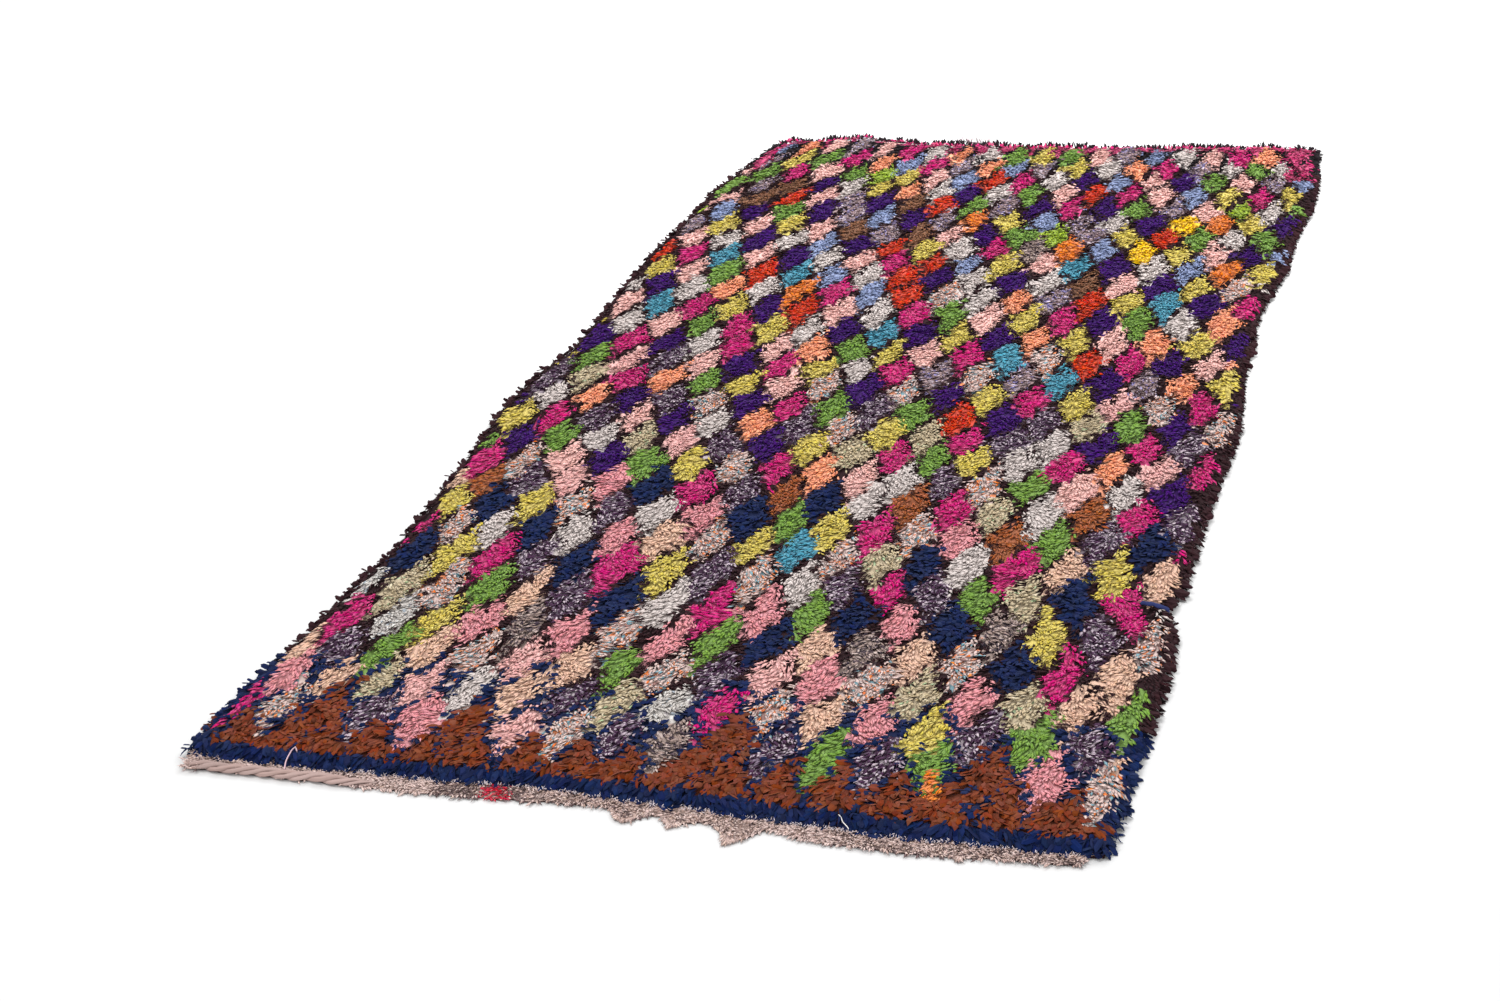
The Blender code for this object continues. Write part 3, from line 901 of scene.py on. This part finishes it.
# Yarns of the flat-woven end: across, share of pale yarn and share of grey yarn
WOVEN_CLOTHS = ("woven", "woven_pale", "grey_yarn", "red_yarn", "rope_yarn")
WOVEN_TONES = ((-0.36, 0.80, 0.04), (-0.26, 0.86, 0.02), (-0.25, 0.10, 0.70), (-0.13, 0.14, 0.62),
               (-0.11, 0.36, 0.28), (-0.03, 0.32, 0.24), (0.00, 0.40, 0.10), (0.19, 0.42, 0.10),
               (0.22, 0.80, 0.05), (0.31, 0.70, 0.12), (0.38, 0.36, 0.26), (0.62, 0.34, 0.32))
RED_SPOT = (-0.183, -0.161)

# Hanging tabs of the flat-woven end: across, width and reach
TABS = ((0.014, 0.040, 0.004), (0.083, 0.026, 0.012), (0.168, 0.026, 0.016), (0.467, 0.014, 0.010))

# How far the outer edge draws in, from place to place across
DRAWN_IN = ((-0.16, 0), (-0.09, 0.005), (-0.03, 0.013), (-0.012, 0.013), (0.0, 0.003), (0.014, 0),
            (0.045, 0.011), (0.065, 0.010), (0.083, 0.002), (0.105, 0.010), (0.135, 0.007), (0.160, 0),
            (0.178, 0.003), (0.200, 0.015), (0.225, 0.012), (0.27, 0.002), (0.40, 0), (0.60, 0.010))
drawn_in = wander(0.024)


def woven_edge(x):
    """y of the outer edge of the flat-woven end."""
    across, depth = np.array(DRAWN_IN).T
    return woven_y(x) + np.interp(x, across, depth) + 0.0016 * drawn_in(x, 0.3 * x)


def tube(centre, radius, flat=1.0, number=0.5, cloth=0):
    """One spindle along a path of centres, with a radius for each."""
    forward = np.gradient(centre, axis=0)
    forward /= np.linalg.norm(forward, axis=1)[:, None]
    upward = np.array([0.0, 0.0, 1.0])
    right = np.cross(forward, upward)
    right /= np.linalg.norm(right, axis=1)[:, None]
    upper = np.cross(right, forward)
    radius = np.broadcast_to(radius, len(centre))[:, None]
    rings = ring(centre[1:-1], right[1:-1] * radius[1:-1], upper[1:-1] * radius[1:-1] * flat, ROUND)
    return dict(root=centre[:1], rings=rings[None], tip=centre[-1:], number=np.array([number]),
                cloth=np.array([cloth]), columns=1)


def rope():
    """The twisted outer edge, bare at the left end and lost in the fuzz further on."""
    x = np.linspace(woven_from + 0.002, ROPE_STOP, ROPE_STEPS)
    axis = smooth_line(woven_edge(x), 4) + ROPE_INSIDE
    taper = np.interp(x, (x[0], x[0] + 0.02, ROPE_STOP - 0.06, ROPE_STOP), (0.7, 1, 1, 0.4))
    batches = []
    for strand in range(ROPE_STRANDS):
        turn = 2 * math.pi * (x / ROPE_PITCH + strand / ROPE_STRANDS)
        across = axis + ROPE_SWING * np.cos(turn) * taper
        path = np.stack([x, across, ROPE_HEIGHT - ROPE_LIFT * np.sin(turn)], axis=1)
        uneven = np.interp(x, np.linspace(-0.7, 0.7, 170), rng.uniform(-1, 1, 170))
        radius = ROPE_RADIUS * taper * (1 + 0.2 * uneven)
        batches.append(tube(path, radius, ROPE_FLAT, number=rng.random(),
                            cloth=WOVEN_CLOTHS.index("rope_yarn")))
    return batches


def woven_cloth_at(x):
    """The yarn of each woven fibre, as a place in WOVEN_CLOTHS."""
    across, pale, grey = np.array(WOVEN_TONES).T
    pick = rng.random(len(x))
    pale_share, grey_share = np.interp(x, across, pale), np.interp(x, across, grey)
    cloth = np.where(pick < pale_share, 1, np.where(pick < pale_share + grey_share, 2, 0))
    middle, half = sum(RED_SPOT) / 2, (RED_SPOT[1] - RED_SPOT[0]) / 2
    red = np.clip(1.25 - 0.55 * np.abs(x - middle) / half, 0, 0.9)
    return np.where(rng.random(len(x)) < red, 3, cloth)


curl, tangle = wander(0.016), wander(0.020)


def fibres(x, y, heading, reach, low, high):
    """Short woven fibres, the grey ones a little deeper than the rest."""
    count = len(x)
    cloth = woven_cloth_at(x)
    root_z = rng.uniform(0.0030, 0.0048, count)
    tip_z = rng.uniform(low, high, count) - 0.0012 * (cloth == 2) + 0.0016 * tangle(x, y)
    width, thick = rng.uniform(0.0020, 0.0040, count), rng.uniform(0.0007, 0.0013, count)
    made = strands(x, y, heading, reach, width, thick, (0.6,), root_z=root_z,
                   tip_z=np.maximum(tip_z, 0.0010))
    made["cloth"] = cloth
    return made


def woven_fuzz():
    """The looped and frayed yarns that cover the flat-woven end, its ragged edge and its tabs."""
    x = rng.uniform(woven_from, woven_to, FUZZ_FIBRES)
    share = rng.random(FUZZ_FIBRES)
    kept = (x > ROPE_STOP - 0.03) | (share < 0.40) | (rng.random(FUZZ_FIBRES) < 0.10)
    x, share = x[kept], share[kept]
    y = pile_foot_y(x) + (woven_edge(x) + 0.005 - pile_foot_y(x)) * share
    heading = -math.pi / 2 + 2.2 * curl(x, y) + rng.normal(0, 0.45, len(x))
    outer = share > 0.84
    high = np.where(outer, 0.0046, 0.0086)
    low = np.where(outer, 0.0010, 0.0040)
    reach = rng.uniform(0.005, 0.011, len(x)) * np.where(outer & (rng.random(len(x)) < 0.12), 1.6, 1.0)
    batches = [fibres(x, y, heading, reach, low, high)]
    for across, wide, out in TABS:
        offset = rng.uniform(-0.5, 0.5, TAB_FIBRES)
        x = across + offset * wide
        reach = (0.006 + out * (1 - 2 * np.abs(offset))) * rng.uniform(0.5, 1.0, TAB_FIBRES)
        heading = -math.pi / 2 - 0.9 * offset + rng.normal(0, 0.15, TAB_FIBRES)
        y = woven_edge(x) + rng.uniform(0.004, 0.009, TAB_FIBRES)
        batches.append(fibres(x, y, heading, reach, 0.0010, 0.0045))
    x = rng.uniform(woven_from - 0.008, woven_from + 0.020, CORNER_FIBRES)
    y = foot_y + rng.uniform(-0.030, 0.014, CORNER_FIBRES)
    heading = -math.pi / 2 + rng.normal(-0.3, 0.7, CORNER_FIBRES)
    reach = rng.uniform(0.006, 0.013, CORNER_FIBRES)
    batches.append(fibres(x, y, heading, reach, 0.0040, 0.0125))
    return batches


def stitches():
    """The small overcast stitches along the lower edge of the navy band."""
    x = rng.uniform(-0.43, woven_to, STITCHES)
    y = pile_foot_y(x) - rng.uniform(0.003, 0.012, STITCHES)
    heading = math.pi / 2 + rng.normal(0.1, 0.4, STITCHES)
    reach = rng.uniform(0.0025, 0.0080, STITCHES)
    width, thick = rng.uniform(0.0010, 0.0016, STITCHES), np.full(STITCHES, 0.0006)
    root_z = rng.uniform(0.0066, 0.0082, STITCHES)
    return strands(x, y, heading, reach, width, thick, (0.5,), roll=0.2, root_z=root_z,
                   tip_z=root_z + rng.uniform(0.0008, 0.0026, STITCHES))


def ride_pile(piece):
    """Let a piece stand for the rug's solid, on the same body."""
    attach(piece, "root")
    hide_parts("rug")
    return piece


MOST_STRANDS = {1: 32000, 2: 16000}


def build_pile():
    for kind, store in (("pile", pile), ("leaf", leaves)):
        for name, batches in store.items():
            if not batches:
                continue
            joined = {key: np.concatenate([batch[key] for batch in batches])
                      for key in ("root", "rings", "tip", "number", "cloth")}
            limit = MOST_STRANDS[joined["rings"].shape[1]]
            parts = int(math.ceil(len(joined["root"]) / limit))
            order = np.argsort(joined["root"][:, 1]) if parts > 1 else np.arange(len(joined["root"]))
            for part, chosen in enumerate(np.array_split(order, parts)):
                batch = {key: value[chosen] for key, value in joined.items()}
                title = f"{kind}_{name}" if parts == 1 else f"{kind}_{name}_{part + 1}"
                ride_pile(build_piece(title, [batch], [name], smooth=kind == "pile"))


build_pile()


def build_woven_end():
    twisted, loose = rope(), woven_fuzz()
    fuzz = {key: np.concatenate([batch[key] for batch in loose]) for key in loose[0]}
    for strand in twisted:
        strand["bake_share"] = ROPE_BAKE_SHARE
    fuzz["bake_share"] = 1 - ROPE_BAKE_SHARE * len(twisted)
    ride_pile(build_piece("woven_end", twisted + [fuzz], WOVEN_CLOTHS))
    ride_pile(build_piece("overcast_stitches", [stitches()], ["stitch_thread"]))


build_woven_end()


# The ground weave under the pile
BED_ACROSS = 80
BED_ALONG = 68
BED_WOVEN = 4
BED_INSET = 0.003
BED_RIPPLE = 0.0205


def sink_into_pile(points):
    """Lower the corners of the sheet where its flat faces would rise through the pile between them."""
    excess = np.zeros(points.shape[:2])
    shares = np.linspace(0, 1, 5)
    for a in shares:
        for b in shares:
            low = points[:-1, :-1] * (1 - a) + points[:-1, 1:] * a
            high = points[1:, :-1] * (1 - a) + points[1:, 1:] * a
            spot = low * (1 - b) + high * b
            over = spot[..., 2] - bed_height(spot[..., 0], spot[..., 1])
            for r in (0, 1):
                for c in (0, 1):
                    corner = excess[r:r + over.shape[0], c:c + over.shape[1]]
                    np.maximum(corner, over, out=corner)
    points[..., 2] = np.maximum(points[..., 2] - excess, WOVEN_TOP)


def build_ground():
    """The cloth that carries the knots, as one closed sheet."""
    u = np.linspace(0, 1, BED_ACROSS + 1)
    rows = []
    for step in range(BED_WOVEN):
        x, y = place(u, np.full(len(u), 0.0))
        x = np.clip(x, woven_from + BED_INSET, woven_to - BED_INSET)
        share = 1 - step / BED_WOVEN
        rows.append(np.stack([x, pile_foot_y(x) + (woven_edge(x) + 0.005 - pile_foot_y(x)) * share,
                              np.full(len(u), WOVEN_TOP)], axis=1))
    for step in range(BED_ALONG + 1):
        x, y = place(u, np.full(len(u), step / BED_ALONG * (PILE_LONG - 0.004)))
        x = np.clip(x, left_x(y) + BED_INSET, right_x(y) - BED_INSET)
        rows.append(np.stack([x, y, bed_height(x, y)], axis=1))
    upper = np.array(rows)
    sink_into_pile(upper[BED_WOVEN:])
    lines, wide = upper.shape[:2]
    lower = upper.copy()
    lower[..., 2] = BED_UNDER + np.maximum(0.0, upper[..., 2] - BED_RIPPLE)
    index = np.arange(lines * wide).reshape(lines, wide)
    below = index + lines * wide
    faces, cloth, uv = [], [], []
    for r in range(lines - 1):
        for c in range(wide - 1):
            knot_row = int((r - BED_WOVEN + 0.5) / BED_ALONG * ROWS)
            knot_column = int((c + 0.5) / BED_ACROSS * KNOTS)
            shown = knots[min(knot_row, ROWS - 1), knot_column] if knot_row >= 0 else cloth_number["woven"]
            square = ((c, r), (c + 1, r), (c + 1, r + 1), (c, r + 1))
            faces.append([index[j, i] for i, j in square])
            faces.append([below[j, i] for i, j in reversed(square)])
            cloth += [shown, shown]
            uv += [(0.01 + 0.48 * i / wide, j / lines) for i, j in square]
            uv += [(0.51 + 0.48 * i / wide, j / lines) for i, j in reversed(square)]
    border = [(0, c) for c in range(wide)] + [(r, wide - 1) for r in range(1, lines)]
    border += [(lines - 1, c) for c in range(wide - 2, -1, -1)] + [(r, 0) for r in range(lines - 2, 0, -1)]
    for number, here in enumerate(border):
        there = border[(number + 1) % len(border)]
        faces.append([index[there], index[here], below[here], below[there]])
        cloth.append(cloth_number["plum"])
        low, high = number / len(border), (number + 1) / len(border)
        uv += [(0.995, high), (0.995, low), (1.0, low), (1.0, high)]
    mesh = bpy.data.meshes.new("ground_weave")
    mesh.from_pydata(np.concatenate([upper.reshape(-1, 3), lower.reshape(-1, 3)]).tolist(), [], faces)
    mesh.uv_layers.new(name="OFBake").data.foreach_set("uv", np.array(uv, np.float32).ravel())
    used = sorted(set(cloth))
    slots = {number: order for order, number in enumerate(used)}
    mesh.polygons.foreach_set("material_index", np.array([slots[number] for number in cloth], np.int32))
    for number in used:
        mesh.materials.append(cloth_material(cloth_names[number]))
    mesh.validate()
    piece = link("ground_weave", mesh)
    return ride_pile(piece)


ground = build_ground()


# Loose ends and the selvedge tie
FRINGE = (-0.192, -0.104)
FRINGE_YARNS = 110
TIE_HALF_WIDE, TIE_THICK, TIE_SIDES = 0.0066, 0.0021, 8


def build_loose_ends():
    """The yarn over the band, the thread at the right and the tangle behind the far end."""
    steps = np.linspace(0, 1, 16)
    x = np.interp(steps, (0, 0.3, 1), (-0.478, -0.488, -0.484)) + 0.0015 * np.sin(steps * 7)
    y = foot_y + np.interp(steps, (0, 0.2, 1), (0.014, 0.020, -0.018))
    z = np.interp(steps, (0, 0.2, 0.6, 1), (0.018, 0.0230, 0.015, 0.0080))
    yarn = tube(np.stack([x, y, z], axis=1), 0.0010, number=0.4)
    x = 0.301 + 0.018 * steps + 0.001 * np.sin(steps * 9)
    y = foot_y + 0.006 - 0.018 * steps
    z = np.interp(steps, (0, 0.4, 1), (0.0205, 0.0175, 0.0110))
    thread = tube(np.stack([x, y, z], axis=1), 0.0006, number=0.6, cloth=1)
    count = FRINGE_YARNS
    x = rng.uniform(*FRINGE, count)
    y = far_y(x) - rng.uniform(-0.004, 0.006, count)
    heading, reach = math.pi / 2 + rng.normal(0, 1.1, count), rng.uniform(0.004, 0.016, count)
    width, thick = rng.uniform(0.0014, 0.0026, count), rng.uniform(0.0006, 0.0011, count)
    fringe = strands(x, y, heading, reach, width, thick, (0.6,), root_z=np.full(count, 0.0170),
                     tip_z=rng.uniform(0.020, 0.040, count))
    fringe["cloth"] = rng.choice((0, 2, 4, 0, 3), count)
    cloths = ("pink_yarn", "white_thread", "rose", "grey_yarn", "plum")
    ride_pile(build_piece("loose_ends", [yarn, thread, fringe], cloths))


def build_tie():
    """A narrow navy rag tied over the right selvedge, a little crumpled."""
    steps = np.linspace(0, 1, 22)
    inner, outer = tie_low.x + 0.001, tie_high.x - 0.001
    rim = outer - 0.012
    x = np.interp(steps, (0, 0.62, 0.8, 1), (inner, rim, outer, outer))
    z = np.interp(steps, (0, 0.35, 0.62, 0.8, 1), (0.0184, 0.0184, 0.0164, 0.0108, 0.0022))
    z = z + 0.0005 * np.sin(steps * 19)
    path = np.stack([x, tie_y + 0.0008 * np.sin(steps * 8), z], axis=1)
    forward = np.gradient(path, axis=0)
    forward /= np.linalg.norm(forward, axis=1)[:, None]
    right = np.tile(np.array([0.0, -1.0, 0.0]), (len(path), 1))
    upper = np.cross(right, forward)
    pinch = TIE_HALF_WIDE * (1 - 0.30 * np.sin(steps * 11) ** 2)
    angles = np.arange(TIE_SIDES) * 2 * math.pi / TIE_SIDES + math.pi
    rings = ring(path[1:-1], right[1:-1] * pinch[1:-1, None], upper[1:-1] * TIE_THICK, angles)
    batch = dict(root=path[:1], rings=rings[None], tip=path[-1:], number=np.array([0.5]),
                 cloth=np.array([0]))
    tie = build_piece("selvedge_rag", [batch], ["tie_cloth"])
    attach(tie, "root")
    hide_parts("selvedge_tie")


build_loose_ends()
build_tie()


# Floor, light and camera
FLOOR_HALF, FLOOR_TONE = 14, 0.66
WORLD_LIGHT = 0.90
SUNS = (("key", 1.19, 0.5, (4, -24)), ("fill", 0.78, 0.9, (34, 38)))
SOFTBOX_LIGHT, SOFTBOX_SIZE, SOFTBOX_AT = 114.0, 3.0, (0.1, 2.3, 2.6)
CAMERA_AT = (1.031, -3.766, 1.625)
CAMERA_TURNS = (("Z", 19.29), ("X", 64.7), ("Z", -4.6))
LENS = 54.288


def build_stage():
    mesh = bpy.data.meshes.new("floor")
    corners = [(x * FLOOR_HALF, y * FLOOR_HALF, 0) for x, y in ((-1, -1), (1, -1), (1, 1), (-1, 1))]
    mesh.from_pydata(corners, [], [(0, 1, 2, 3)])
    floor = link("floor", mesh)
    material = bpy.data.materials.new("pale_floor")
    material.use_nodes = True
    set_values(material.node_tree.nodes["Principled BSDF"], {
        "Base Color": (FLOOR_TONE,) * 3 + (1,), "Roughness": 0.9, "Specular IOR Level": 0.1})
    mesh.materials.append(material)


def build_light():
    world = bpy.data.worlds.new("studio")
    world.use_nodes = True
    set_values(world.node_tree.nodes["Background"], {"Color": (1, 1, 1, 1), "Strength": WORLD_LIGHT})
    bpy.context.scene.world = world
    for name, strength, angle, tilt in SUNS:
        sun = bpy.data.lights.new(name, "SUN")
        sun.energy = strength
        sun.angle = angle
        link(name, sun).rotation_euler = (math.radians(tilt[0]), math.radians(tilt[1]), 0)
    softbox = bpy.data.lights.new("softbox", "AREA")
    softbox.energy = SOFTBOX_LIGHT
    softbox.size = SOFTBOX_SIZE
    link("softbox", softbox).location = SOFTBOX_AT
    bpy.context.scene.view_settings.view_transform = "Standard"


def build_camera():
    camera = bpy.data.cameras.new("camera")
    camera.sensor_width = 36
    camera.lens = LENS
    view = link("camera", camera)
    pose = Matrix.Translation(CAMERA_AT)
    for axis, degrees in CAMERA_TURNS:
        pose = pose @ Matrix.Rotation(math.radians(degrees), 4, axis)
    view.matrix_world = pose
    bpy.context.scene.camera = view


build_stage()
build_light()
build_camera()
